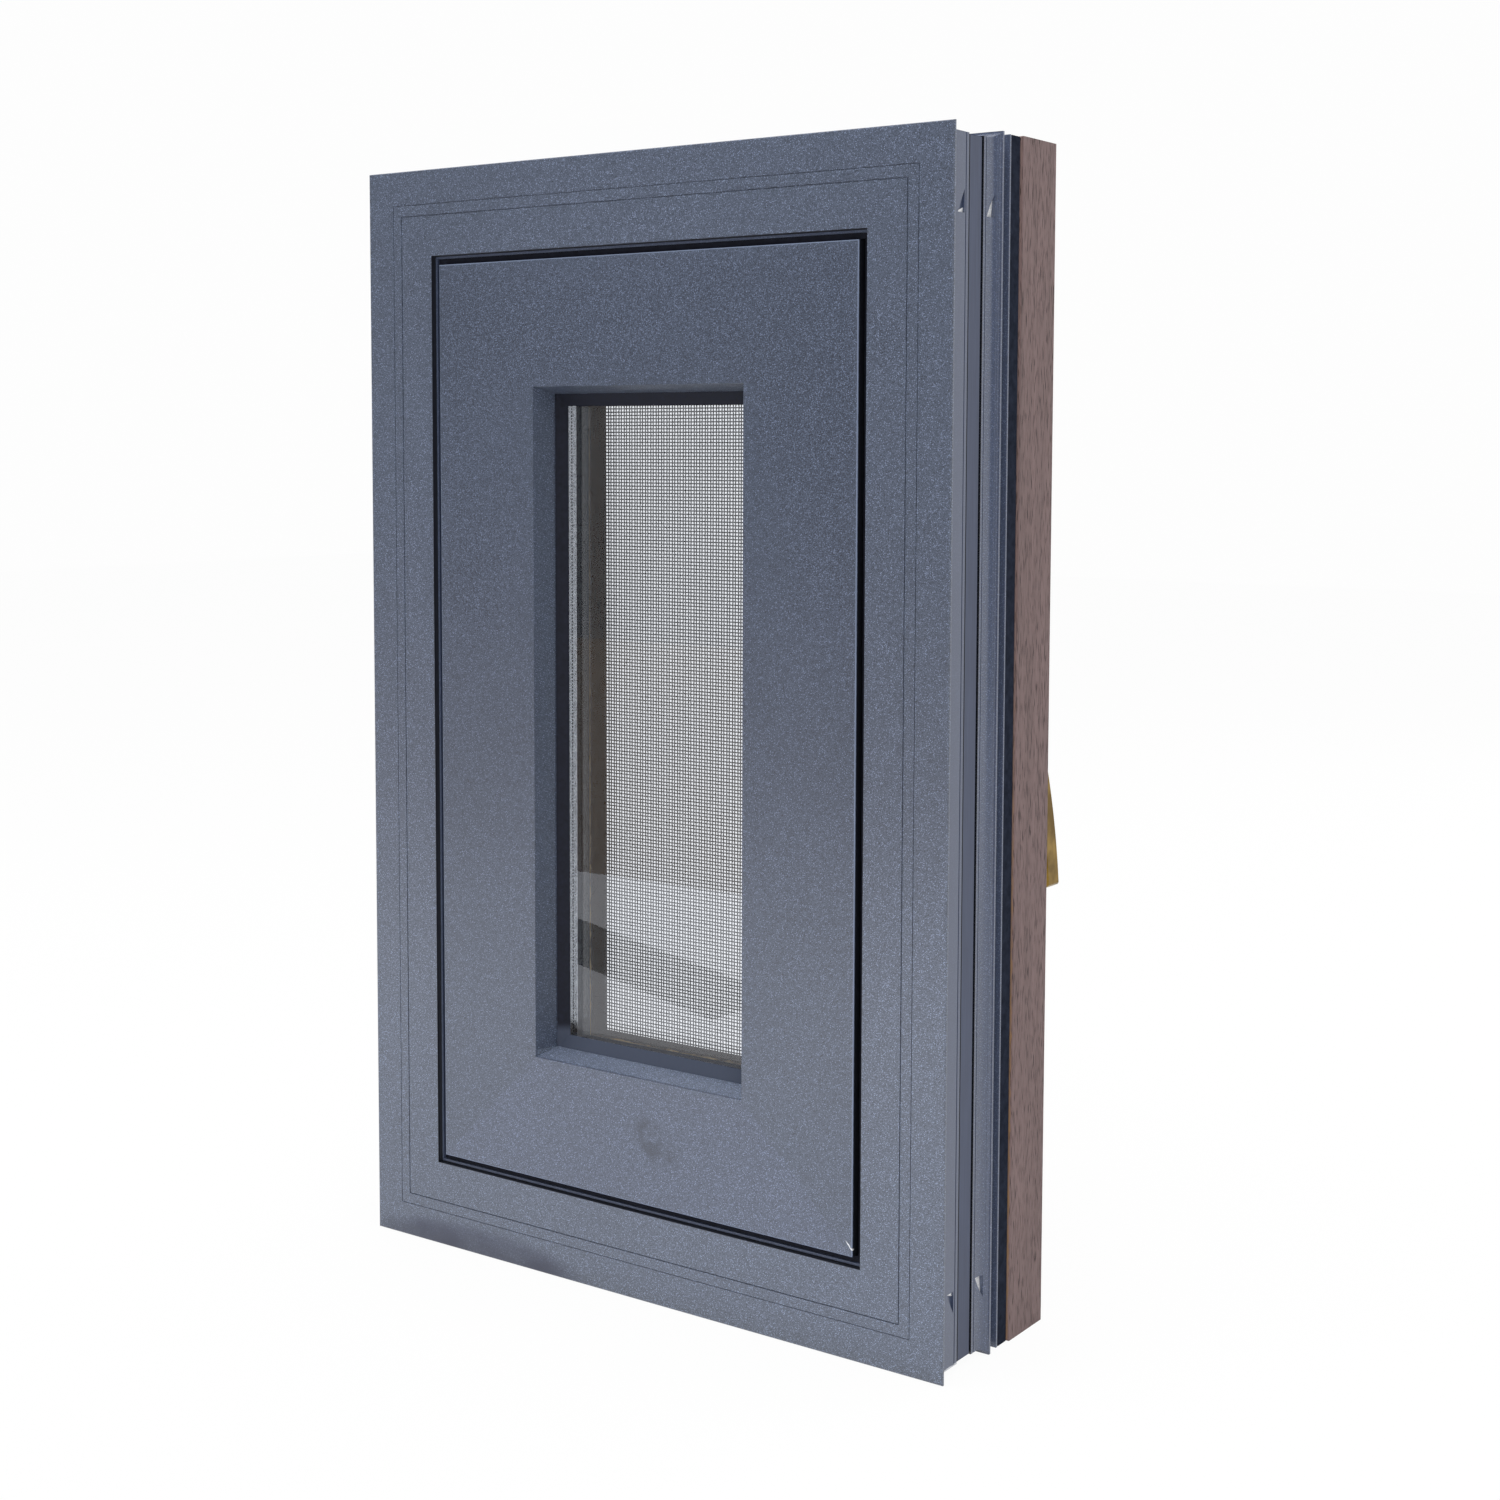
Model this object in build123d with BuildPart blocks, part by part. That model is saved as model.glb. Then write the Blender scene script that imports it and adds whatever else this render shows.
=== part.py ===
"""Flush casement window: thermally broken aluminium outside, solid timber inside.

X runs along the width, Y from the outside into the room and Z up. The origin is the
middle of the bottom of the whole window. Every ring of profiles is drawn once, as a
section in inset (distance in from the flange's outer edge) and depth (distance behind
the flange's outer face), and is then run along the four sides and mitred. Millimetres.
"""

import os
from math import sqrt

from build123d import *

# Overall size
WIDTH = 375.0
HEIGHT = 600.0

# Frame, layer by layer from the outside in
CLADDING_DEPTH = 20.0
BREAK_WIDTH = 14.0
INNER_DEPTH = 21.5
SPACER_DEPTH = 10.0
WOOD_DEPTH = 36.5
FRAME_FACE = 47.0
WOOD_FACE = 58.0
STOP_REACH = 19.0
STOP_DEPTH = 9.5

# Flange, trim lines and walls of the frame's aluminium
FLANGE_THICKNESS = 2.4
FLANGE_REACH = 3.5
FLANGE_EDGE_RADIUS = 0.9
TRIM_LINE_OUTER = 18.5
TRIM_LINE_OUTER_WIDTH = 0.35
TRIM_LINE_INNER = 24.5
TRIM_LINE_INNER_WIDTH = 0.6
TRIM_LINE_DEPTH = 0.6
WALL = 1.8
JAW_WALL = 4.0
REVEAL_RIB_DEPTH = 3.0
REVEAL_RIB_WIDTH = 1.4
REVEAL_RIB_HEIGHT = 1.6
JAW_GROOVE_WIDTH = 0.7
JAW_GROOVE_DEPTH = 0.5
CLADDING_GROOVE_SETBACK = 3.0
INNER_GROOVE_SETBACK = 2.0
LIP_THICKNESS = 1.5
LIP_SETBACK = 8.0
COVE_RIDGE_INSET = 1.9
COVE_RIDGE_DROP = 1.8
COVE_LENGTH = 7.6
COVE_SAG = 0.55
CHANNEL_INSET = 6.0
CHANNEL_FIN = 1.2
CRIMP_LENGTH = 11.0
CRIMP_WIDTH = 6.2
CRIMP_SINK = 1.3
CRIMP_FROM_CORNER = 35.5
CLADDING_CRIMP_DEPTH = 13.0
INNER_CRIMP_SETBACK = 6.4

# Thermal break strips
STRIP_THICKNESS = 2.4
STRIP_RECESS = 0.5
STRIP_GAP = 1.2
STRIP_NECK = 1.2
STRIP_HEAD = 2.0
STRIP_HEAD_DEPTH = 1.8

# Timber and the plastic spacers behind it
WOOD_EDGE_RADIUS = 1.5
SASH_WOOD_EDGE_RADIUS = 0.75
SPACER_REACH = 12.0
SPACER_SETBACK = 0.6
SPACER_NOSE_RADIUS = 1.5
LOOSE_MITRE_GAP = 0.3

# Sash
SASH_GAP = 5.0
SASH_SETBACK = 0.5
SASH_FACE = 67.0
SASH_EDGE_RADIUS = 0.7
CHAMFER_RUN = 3.5
CHAMFER_DEPTH = 13.0
LIP_NOSE = 1.0
SASH_BODY = 52.0
SASH_BREAK_WIDTH = 10.0
SASH_INNER_DEPTH = 14.0
SASH_WOOD_DEPTH = 12.5
SASH_WOOD_RISE = 6.0
SASH_WOOD_GAP = 2.0
STOP_GASKET_WIDTH = 10.0
STOP_GASKET_SETBACK = 2.0
WEATHER_SEAL_REACH = 4.4
WEATHER_SEAL_DEPTH = 5.0
WEATHER_SEAL_LIP = 1.0

# Insulating glass and its gaskets
PANE = 5.0
GLASS_CAVITY = 12.0
GLASS_EDGE_GAP = 3.0
OUTER_GASKET = 3.5
INNER_GASKET = 7.0
GASKET_WEDGE = 6.5
GASKET_ROOT = 10.0
GASKET_HOLD = 11.0
SPACER_BAR_SETBACK = 5.0
SPACER_BAR_HEIGHT = 10.0

# Insect screen
SCREEN_GAP = 2.0
SCREEN_FACE = 22.0
SCREEN_DEPTH = 11.0
SCREEN_WALL = 1.4
SCREEN_SEAL = 2.0
SCREEN_REBATE = 2.5
MESH_THICKNESS = 1.0
MESH_HOLD = 6.0
MESH_CLEARANCE = 0.1
MESH_SETBACK = 6.5

# Lock lever on the room side of one jamb
LOCK_HEIGHT = 316.0
PLATE_WIDTH = 31.0
PLATE_LENGTH = 92.0
PLATE_THICKNESS = 6.0
PLATE_DROP = 14.0
PLATE_CORNER_RADIUS = 13.7
PLATE_BEVEL = 1.6
EAR_THICKNESS = 4.0
EAR_RADIUS = 9.0
PIVOT_STANDOFF = 15.0
PIN_RADIUS = 3.0
PIN_CLEARANCE = 0.06
LEVER_WIDTH = 19.0
LEVER_SIDE_GAP = 0.4
LEVER_HUB_RADIUS = 8.0
LEVER_LENGTH = 99.0
LEVER_REACH = 52.0
LEVER_BOW = 41.0
LEVER_BOW_DROP = 46.0
LEVER_END_THICKNESS = 14.0
LEVER_BEVEL = 1.4

# Depths of the layers, measured behind the flange's outer face
inner_front = CLADDING_DEPTH + BREAK_WIDTH
inner_back = inner_front + INNER_DEPTH
stop_front = inner_back - STOP_DEPTH
wood_front = inner_back + SPACER_DEPTH
wood_back = wood_front + WOOD_DEPTH
stop_inset = FRAME_FACE + STOP_REACH
lip_depth = inner_back - LIP_SETBACK

reveal_rib_back = REVEAL_RIB_DEPTH + REVEAL_RIB_WIDTH

sash_inset = FRAME_FACE + SASH_GAP
sash_body_inset = sash_inset + SASH_BODY
chamfer_inset = sash_inset + SASH_FACE
lip_inset = chamfer_inset + CHAMFER_RUN
lip_front = SASH_SETBACK + CHAMFER_DEPTH
lip_back = lip_front + LIP_NOSE
sash_inner_front = CLADDING_DEPTH + SASH_BREAK_WIDTH
sash_inner_back = sash_inner_front + SASH_INNER_DEPTH

outer_pane_front = lip_back + OUTER_GASKET
cavity_front = outer_pane_front + PANE
inner_pane_front = cavity_front + GLASS_CAVITY
inner_pane_back = inner_pane_front + PANE
glass_inset = sash_body_inset + GLASS_EDGE_GAP
sash_wood_front = inner_pane_back + INNER_GASKET
sash_wood_back = sash_inner_back + SASH_WOOD_DEPTH
sash_wood_inset = stop_inset + SASH_WOOD_GAP

screen_inset = WOOD_FACE + SCREEN_GAP
screen_front = inner_back + SCREEN_SEAL
screen_opening = screen_inset + SCREEN_FACE
mesh_front = screen_front + MESH_SETBACK
sash_wood_step = screen_opening + SCREEN_REBATE

# The whole window, lever included, is centred front to back on the origin
front_y = -(wood_back + LEVER_REACH) / 2
lock_x = WIDTH / 2 - WOOD_FACE / 2
INTO_ROOM = Vector(0, 1, 0)

os.makedirs("parts", exist_ok=True)


class Side:
    """One side of the window: where its sections are drawn and where its mitres fall."""

    def __init__(self, name, inward, middle, length):
        self.name = name
        self.inward = Vector(*inward)
        self.along = self.inward.cross(INTO_ROOM)
        self.middle = Vector(*middle)
        self.length = length
        self.plane = Plane(self.middle, x_dir=self.inward, z_dir=self.along)

    def mitres(self, joint_gap):
        """The two 45 degree planes at the ends, each facing the middle of the side."""
        for end in (self.along, self.along * -1):
            facing = (end + self.inward) * -1
            corner = self.middle + end * (self.length / 2)
            yield Plane(corner + facing * (joint_gap / 2 / sqrt(2)), z_dir=facing)


SIDES = [
    Side("bottom", (0, 0, 1), (0, front_y, 0), WIDTH),
    Side("top", (0, 0, -1), (0, front_y, HEIGHT), WIDTH),
    Side("left", (1, 0, 0), (-WIDTH / 2, front_y, HEIGHT / 2), HEIGHT),
    Side("right", (-1, 0, 0), (WIDTH / 2, front_y, HEIGHT / 2), HEIGHT),
]


def save(part, name):
    """Labels a finished piece and writes it as its own file."""
    part.label = name
    export_step(part, f"parts/{name}.step")


def outline(*points, mode=Mode.ADD):
    """A closed straight-sided outline in the current section."""
    Polygon(*points, align=None, mode=mode)


def block(inset, depth, inset_end, depth_end, mode=Mode.ADD):
    """A rectangle of the current section between two corners."""
    with Locations((inset, depth)):
        Rectangle(inset_end - inset, depth_end - depth, align=(Align.MIN, Align.MIN), mode=mode)


def mitred_member(side, draw_section, joint_gap=0.0):
    """A section run along one side and cut at 45 degrees at both ends."""
    with BuildPart() as member:
        with BuildSketch(side.plane):
            draw_section()
        extrude(amount=side.length / 2, both=True)
        for mitre in side.mitres(joint_gap):
            split(bisect_by=mitre, keep=Keep.TOP)
    return member.part


def ring_of_members(name, draw_section):
    """Four mitred members, each its own piece."""
    for side in SIDES:
        save(mitred_member(side, draw_section), f"{name}_{side.name}")


def loose_strips(name, *sections):
    """Strips along all four sides that stop just short of each other at the mitres."""
    strips = [mitred_member(side, draw, LOOSE_MITRE_GAP) for side in SIDES for draw in sections]
    save(Compound(children=strips), name)


def at_depth(depth):
    """A sketch plane parallel to the glass, facing into the room, on the window's centre."""
    return Plane((0, front_y + depth, HEIGHT / 2), x_dir=(-1, 0, 0), z_dir=INTO_ROOM)


def pane_outline(inset, mode=Mode.ADD):
    """A rectangle that far in from the flange's edge on every side."""
    Rectangle(WIDTH - 2 * inset, HEIGHT - 2 * inset, mode=mode)


# Thermal break strips

def strip_section(inset, front, back, mode=Mode.ADD):
    """A polyamide strip between two metal profiles, with a dovetail head in each."""
    middle = inset + STRIP_THICKNESS / 2
    block(inset, front + STRIP_GAP, inset + STRIP_THICKNESS, back - STRIP_GAP, mode)
    for mouth, outward in ((front, -1), (back, 1)):
        root = mouth - outward * STRIP_GAP
        head = mouth + outward * STRIP_HEAD_DEPTH
        outline(
            (middle - STRIP_NECK / 2, root),
            (middle - STRIP_NECK / 2, mouth),
            (middle - STRIP_HEAD / 2, head),
            (middle + STRIP_HEAD / 2, head),
            (middle + STRIP_NECK / 2, mouth),
            (middle + STRIP_NECK / 2, root),
            mode=mode,
        )


frame_strips = (FLANGE_REACH + STRIP_RECESS, FRAME_FACE - STRIP_RECESS - STRIP_THICKNESS)
sash_strips = (sash_inset + STRIP_RECESS, sash_body_inset - STRIP_RECESS - STRIP_THICKNESS)


def break_sections(insets, front, back):
    return [lambda inset=inset: strip_section(inset, front, back) for inset in insets]


# Outer frame

def jaw_groove(depth):
    """A fine groove along the outer wall, beside the thermal break."""
    block(FLANGE_REACH, depth, FLANGE_REACH + JAW_GROOVE_DEPTH, depth + JAW_GROOVE_WIDTH, Mode.SUBTRACT)


def frame_cladding_section():
    """Hollow outer profile with the cover flange, two hairline trim grooves and a reveal rib."""
    block(FLANGE_REACH, 0, FRAME_FACE, CLADDING_DEPTH)
    block(0, 0, FLANGE_REACH, FLANGE_THICKNESS)
    fillet(vertices().group_by(Axis.X)[0], FLANGE_EDGE_RADIUS)
    block(FRAME_FACE, REVEAL_RIB_DEPTH, FRAME_FACE + REVEAL_RIB_HEIGHT, reveal_rib_back)
    jaw_groove(CLADDING_DEPTH - CLADDING_GROOVE_SETBACK)
    for line, width in (
        (TRIM_LINE_OUTER, TRIM_LINE_OUTER_WIDTH),
        (TRIM_LINE_INNER, TRIM_LINE_INNER_WIDTH),
    ):
        block(line, 0, line + width, TRIM_LINE_DEPTH, Mode.SUBTRACT)
    chamber_back = CLADDING_DEPTH - JAW_WALL
    block(FLANGE_REACH + WALL, WALL, FRAME_FACE - WALL, chamber_back, Mode.SUBTRACT)
    for inset in frame_strips:
        strip_section(inset, CLADDING_DEPTH, inner_front, Mode.SUBTRACT)


def frame_inner_section():
    """Hollow room-side profile: lip behind a double cove outside, sash stop towards the opening."""
    lip_front_depth = lip_depth - LIP_THICKNESS
    cove_start = (FLANGE_REACH, lip_front_depth - COVE_LENGTH)
    cove_ridge = (COVE_RIDGE_INSET, lip_front_depth - COVE_RIDGE_DROP)
    cove_end = (0, lip_front_depth)
    with BuildLine() as profile:
        SagittaArc(cove_start, cove_ridge, -COVE_SAG)
        SagittaArc(cove_ridge, cove_end, -COVE_SAG)
        Polyline(
            cove_end,
            (0, lip_depth),
            (CHANNEL_INSET, lip_depth),
            (CHANNEL_INSET, inner_back - CHANNEL_FIN),
            (SPACER_SETBACK, inner_back - CHANNEL_FIN),
            (SPACER_SETBACK, inner_back),
            (stop_inset, inner_back),
            (stop_inset, stop_front),
            (FRAME_FACE, stop_front),
            (FRAME_FACE, inner_front),
            (FLANGE_REACH, inner_front),
            cove_start,
        )
    make_face(profile.edges())
    chamber_front = inner_front + JAW_WALL
    chamber_back = inner_back - WALL
    block(CHANNEL_INSET + WALL, chamber_front, FRAME_FACE - WALL, chamber_back, Mode.SUBTRACT)
    block(FRAME_FACE - WALL, stop_front + WALL, stop_inset - WALL, chamber_back, Mode.SUBTRACT)
    jaw_groove(inner_front + INNER_GROOVE_SETBACK)
    for inset in frame_strips:
        strip_section(inset, CLADDING_DEPTH, inner_front, Mode.SUBTRACT)


def outer_spacer_section():
    """Dark plastic spacer between metal and timber, its rounded nose showing on the window's edge."""
    block(SPACER_SETBACK, inner_back, SPACER_SETBACK + SPACER_REACH, wood_front)
    fillet(vertices().group_by(Axis.X)[0], SPACER_NOSE_RADIUS)


def inner_spacer_section():
    block(WOOD_FACE - SPACER_REACH, inner_back, WOOD_FACE, wood_front)


def weather_seal_section():
    """Rubber lip behind the reveal rib that closes the gap round the sash."""
    outline(
        (FRAME_FACE, reveal_rib_back),
        (FRAME_FACE + REVEAL_RIB_HEIGHT, reveal_rib_back),
        (FRAME_FACE + WEATHER_SEAL_REACH, reveal_rib_back + WEATHER_SEAL_LIP),
        (FRAME_FACE + WEATHER_SEAL_REACH, reveal_rib_back + 2 * WEATHER_SEAL_LIP),
        (FRAME_FACE, reveal_rib_back + WEATHER_SEAL_DEPTH),
    )


def frame_wood_section():
    """Solid timber facing with eased edges."""
    block(0, wood_front, WOOD_FACE, wood_back)
    fillet(vertices(), WOOD_EDGE_RADIUS)


def crimped_member(side, draw_section, crimp_depth):
    """A mitred frame member with the two corner-cleat crimps sheared into its outer wall."""
    crimp_plane = Plane(
        side.middle + side.inward * COVE_RIDGE_INSET + INTO_ROOM * crimp_depth,
        x_dir=side.along,
        z_dir=side.inward,
    )
    with BuildPart() as member:
        with BuildSketch(side.plane):
            draw_section()
        extrude(amount=side.length / 2, both=True)
        for mitre in side.mitres(0.0):
            split(bisect_by=mitre, keep=Keep.TOP)
        with BuildSketch(crimp_plane):
            for end in (1, -1):
                with Locations((end * (side.length / 2 - CRIMP_FROM_CORNER), 0)):
                    outline(
                        (-end * CRIMP_LENGTH / 2, -CRIMP_WIDTH / 2),
                        (-end * CRIMP_LENGTH / 2, CRIMP_WIDTH / 2),
                        (end * CRIMP_LENGTH / 2, -CRIMP_WIDTH / 2),
                    )
        extrude(amount=FLANGE_REACH + CRIMP_SINK - COVE_RIDGE_INSET, mode=Mode.SUBTRACT)
    return member.part


inner_crimp_depth = inner_front + INNER_CRIMP_SETBACK

for side in SIDES:
    cladding = crimped_member(side, frame_cladding_section, CLADDING_CRIMP_DEPTH)
    save(cladding, f"frame_cladding_{side.name}")
    inner = crimped_member(side, frame_inner_section, inner_crimp_depth)
    save(inner, f"frame_inner_{side.name}")
loose_strips("frame_thermal_breaks", *break_sections(frame_strips, CLADDING_DEPTH, inner_front))
loose_strips("frame_spacers", outer_spacer_section, inner_spacer_section)
loose_strips("frame_weather_seal", weather_seal_section)
ring_of_members("frame_wood", frame_wood_section)


# Sash

def sash_cladding_section():
    """Wide hollow face profile whose lip slopes back to the glass."""
    outline(
        (sash_inset, SASH_SETBACK),
        (chamfer_inset, SASH_SETBACK),
        (lip_inset, lip_front),
        (lip_inset, lip_back),
        (sash_body_inset, lip_back),
        (sash_body_inset, CLADDING_DEPTH),
        (sash_inset, CLADDING_DEPTH),
    )
    fillet(vertices().group_by(Axis.X)[0].sort_by(Axis.Y)[0], SASH_EDGE_RADIUS)
    chamber_front = SASH_SETBACK + WALL
    chamber_back = CLADDING_DEPTH - JAW_WALL
    block(sash_inset + WALL, chamber_front, sash_body_inset - WALL, chamber_back, Mode.SUBTRACT)
    lip_chamber_back = lip_back - WALL
    slope = CHAMFER_RUN / CHAMFER_DEPTH
    outline(
        (sash_body_inset, chamber_front),
        (chamfer_inset - WALL + slope * WALL, chamber_front),
        (chamfer_inset - WALL + slope * (lip_chamber_back - SASH_SETBACK), lip_chamber_back),
        (sash_body_inset, lip_chamber_back),
        mode=Mode.SUBTRACT,
    )
    for inset in sash_strips:
        strip_section(inset, CLADDING_DEPTH, sash_inner_front, Mode.SUBTRACT)


def sash_inner_section():
    """Hollow room-side profile of the sash."""
    block(sash_inset, sash_inner_front, sash_body_inset, sash_inner_back)
    block(
        sash_inset + WALL,
        sash_inner_front + JAW_WALL,
        sash_body_inset - WALL,
        sash_inner_back - WALL,
        Mode.SUBTRACT,
    )
    for inset in sash_strips:
        strip_section(inset, CLADDING_DEPTH, sash_inner_front, Mode.SUBTRACT)


def sash_wood_section():
    """Timber lining of the sash: rebated for the glass in front and stepped for the screen behind."""
    outline(
        (sash_wood_inset, sash_inner_back),
        (sash_body_inset, sash_inner_back),
        (sash_body_inset, sash_wood_front),
        (lip_inset, sash_wood_front),
        (lip_inset, sash_wood_back + SASH_WOOD_RISE),
        (sash_wood_step, sash_wood_back + SASH_WOOD_RISE),
        (sash_wood_step, sash_wood_back),
        (sash_wood_inset, sash_wood_back),
    )
    fillet(vertices().group_by(Axis.X)[-1], SASH_WOOD_EDGE_RADIUS)


def stop_gasket_section():
    start = sash_inset + STOP_GASKET_SETBACK
    block(start, sash_inner_back, start + STOP_GASKET_WIDTH, stop_front)


ring_of_members("sash_cladding", sash_cladding_section)
ring_of_members("sash_inner", sash_inner_section)
ring_of_members("sash_wood", sash_wood_section)
loose_strips("sash_thermal_breaks", *break_sections(sash_strips, CLADDING_DEPTH, sash_inner_front))
loose_strips("sash_stop_gaskets", stop_gasket_section)


# Insulating glass unit and its gaskets

def glass_pane(front):
    with BuildPart() as pane:
        with BuildSketch(at_depth(front)):
            pane_outline(glass_inset)
        extrude(amount=PANE)
    return pane.part


def flat_ring(front, thickness, outer_inset, inner_inset):
    with BuildPart() as ring:
        with BuildSketch(at_depth(front)):
            pane_outline(outer_inset)
            pane_outline(inner_inset, Mode.SUBTRACT)
        extrude(amount=thickness)
    return ring.part


def outer_gasket():
    """Glazing gasket whose visible wedge slopes from the sash lip down to the glass."""
    with BuildPart() as gasket:
        with BuildSketch(at_depth(lip_back)):
            pane_outline(lip_inset - GASKET_ROOT)
        extrude(amount=OUTER_GASKET)
        with BuildSketch(at_depth(lip_back)):
            pane_outline(lip_inset)
        with BuildSketch(at_depth(outer_pane_front)):
            pane_outline(lip_inset + GASKET_WEDGE)
        loft(mode=Mode.SUBTRACT)
    return gasket.part


save(glass_pane(outer_pane_front), "glass_outer")
save(glass_pane(inner_pane_front), "glass_inner")
bar_inset = glass_inset + SPACER_BAR_SETBACK
bar_end = bar_inset + SPACER_BAR_HEIGHT
save(flat_ring(cavity_front, GLASS_CAVITY, bar_inset, bar_end), "glass_spacer_bar")
save(outer_gasket(), "glazing_gasket_outer")
hold_inset = lip_inset - GASKET_HOLD
save(flat_ring(inner_pane_back, INNER_GASKET, hold_inset, lip_inset), "glazing_gasket_inner")


# Insect screen

def screen_frame_section():
    """Slim hollow bar with a slot that grips the edge of the mesh."""
    block(screen_inset, screen_front, screen_opening, screen_front + SCREEN_DEPTH)
    slot_back = mesh_front + MESH_THICKNESS + 2 * MESH_CLEARANCE
    slot_root = screen_opening - MESH_HOLD - MESH_CLEARANCE
    block(slot_root, mesh_front, screen_opening, slot_back, Mode.SUBTRACT)
    block(
        screen_inset + SCREEN_WALL,
        screen_front + SCREEN_WALL,
        screen_opening - SCREEN_WALL,
        mesh_front - SCREEN_WALL,
        Mode.SUBTRACT,
    )


def screen_seal_section():
    block(screen_inset, inner_back, stop_inset, screen_front)


def mesh_panel():
    """The woven mesh as the thin sheet that it fills."""
    with BuildPart() as panel:
        with BuildSketch(at_depth(mesh_front + MESH_CLEARANCE)):
            pane_outline(screen_opening - MESH_HOLD)
        extrude(amount=MESH_THICKNESS)
    return panel.part


ring_of_members("screen_frame", screen_frame_section)
loose_strips("screen_seals", screen_seal_section)
save(mesh_panel(), "screen_mesh")


# Lock lever

room_face_y = front_y + wood_back
ear_inside = LEVER_WIDTH / 2 + LEVER_SIDE_GAP
ACROSS = Plane((lock_x, room_face_y, LOCK_HEIGHT), x_dir=(0, 1, 0), z_dir=(1, 0, 0))


def lock_base():
    """Rounded back plate with two ears that carry the lever's pin."""
    with BuildPart() as base:
        plate_middle = (lock_x, room_face_y, LOCK_HEIGHT - PLATE_DROP)
        with BuildSketch(Plane(plate_middle, x_dir=(-1, 0, 0), z_dir=INTO_ROOM)):
            RectangleRounded(PLATE_WIDTH, PLATE_LENGTH, PLATE_CORNER_RADIUS)
        extrude(amount=PLATE_THICKNESS)
        chamfer(base.faces().sort_by(Axis.Y)[-1].edges(), PLATE_BEVEL)
        for start in (ear_inside, -ear_inside - EAR_THICKNESS):
            with BuildSketch(ACROSS.offset(start)):
                with Locations((PIVOT_STANDOFF, 0)):
                    Circle(EAR_RADIUS)
                with Locations((PLATE_THICKNESS / 2, 0)):
                    Rectangle(
                        PIVOT_STANDOFF - PLATE_THICKNESS / 2,
                        2 * EAR_RADIUS,
                        align=(Align.MIN, Align.CENTER),
                    )
            extrude(amount=EAR_THICKNESS)
        with BuildSketch(ACROSS.offset(-ear_inside - EAR_THICKNESS)):
            with Locations((PIVOT_STANDOFF, 0)):
                Circle(PIN_RADIUS + PIN_CLEARANCE)
        extrude(amount=2 * (ear_inside + EAR_THICKNESS), mode=Mode.SUBTRACT)
    return base.part


def lock_lever():
    """Bowed lever hanging from its pin, swept out from the jamb towards its square end."""
    with BuildPart() as lever:
        with BuildSketch(ACROSS.offset(-LEVER_WIDTH / 2)):
            with BuildLine():
                outer = ThreePointArc(
                    (PIVOT_STANDOFF + LEVER_HUB_RADIUS, 0),
                    (LEVER_BOW, -LEVER_BOW_DROP),
                    (LEVER_REACH, -LEVER_LENGTH),
                )
                end = Line(outer @ 1, (LEVER_REACH - LEVER_END_THICKNESS, -LEVER_LENGTH))
                inner = ThreePointArc(
                    end @ 1,
                    (LEVER_BOW - LEVER_END_THICKNESS, -LEVER_BOW_DROP),
                    (PIVOT_STANDOFF - LEVER_HUB_RADIUS, 0),
                )
                Line(inner @ 1, outer @ 0)
            make_face()
            with Locations((PIVOT_STANDOFF, 0)):
                Circle(LEVER_HUB_RADIUS)
        extrude(amount=LEVER_WIDTH)
        side_faces = lever.faces().sort_by(Axis.X)
        side_edges = side_faces[0].edges() + side_faces[-1].edges()
        below_hub = LOCK_HEIGHT - LEVER_HUB_RADIUS
        chamfer(side_edges.filter_by(lambda edge: edge.center().Z < below_hub), LEVER_BEVEL)
        with BuildSketch(ACROSS.offset(-ear_inside - EAR_THICKNESS)):
            with Locations((PIVOT_STANDOFF, 0)):
                Circle(PIN_RADIUS)
        extrude(amount=2 * (ear_inside + EAR_THICKNESS))
    return lever.part


save(lock_base(), "lock_base")
save(lock_lever(), "lock_lever")
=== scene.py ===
"""Aluminium clad wood window: slate powder coat outside, stained oak inside, insect mesh and lock lever."""
import math

import bmesh
import bpy
from mathutils import Matrix, Vector


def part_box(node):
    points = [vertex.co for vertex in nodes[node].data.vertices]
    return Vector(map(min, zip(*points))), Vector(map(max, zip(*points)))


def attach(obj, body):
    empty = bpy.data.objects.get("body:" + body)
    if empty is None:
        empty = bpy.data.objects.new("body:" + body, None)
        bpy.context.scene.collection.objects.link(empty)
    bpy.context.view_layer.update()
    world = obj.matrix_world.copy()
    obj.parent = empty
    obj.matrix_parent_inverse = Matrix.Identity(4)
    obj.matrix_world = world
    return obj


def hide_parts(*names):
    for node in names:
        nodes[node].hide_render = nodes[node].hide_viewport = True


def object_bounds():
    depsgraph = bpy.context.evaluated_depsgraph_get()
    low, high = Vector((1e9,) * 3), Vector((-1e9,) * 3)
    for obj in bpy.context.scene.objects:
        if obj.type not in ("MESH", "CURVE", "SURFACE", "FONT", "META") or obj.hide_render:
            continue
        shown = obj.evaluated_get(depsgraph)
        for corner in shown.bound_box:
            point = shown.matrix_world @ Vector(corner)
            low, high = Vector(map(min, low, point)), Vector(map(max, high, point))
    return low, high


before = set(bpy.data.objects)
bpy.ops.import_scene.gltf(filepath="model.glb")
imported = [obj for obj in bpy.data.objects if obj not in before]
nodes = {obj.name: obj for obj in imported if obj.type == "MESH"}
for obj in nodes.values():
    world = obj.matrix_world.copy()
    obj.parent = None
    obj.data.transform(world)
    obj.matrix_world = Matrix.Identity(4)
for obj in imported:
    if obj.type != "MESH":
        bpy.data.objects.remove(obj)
cad_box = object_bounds()

MM = 0.001
SIDES = ("bottom", "top", "left", "right")

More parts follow.
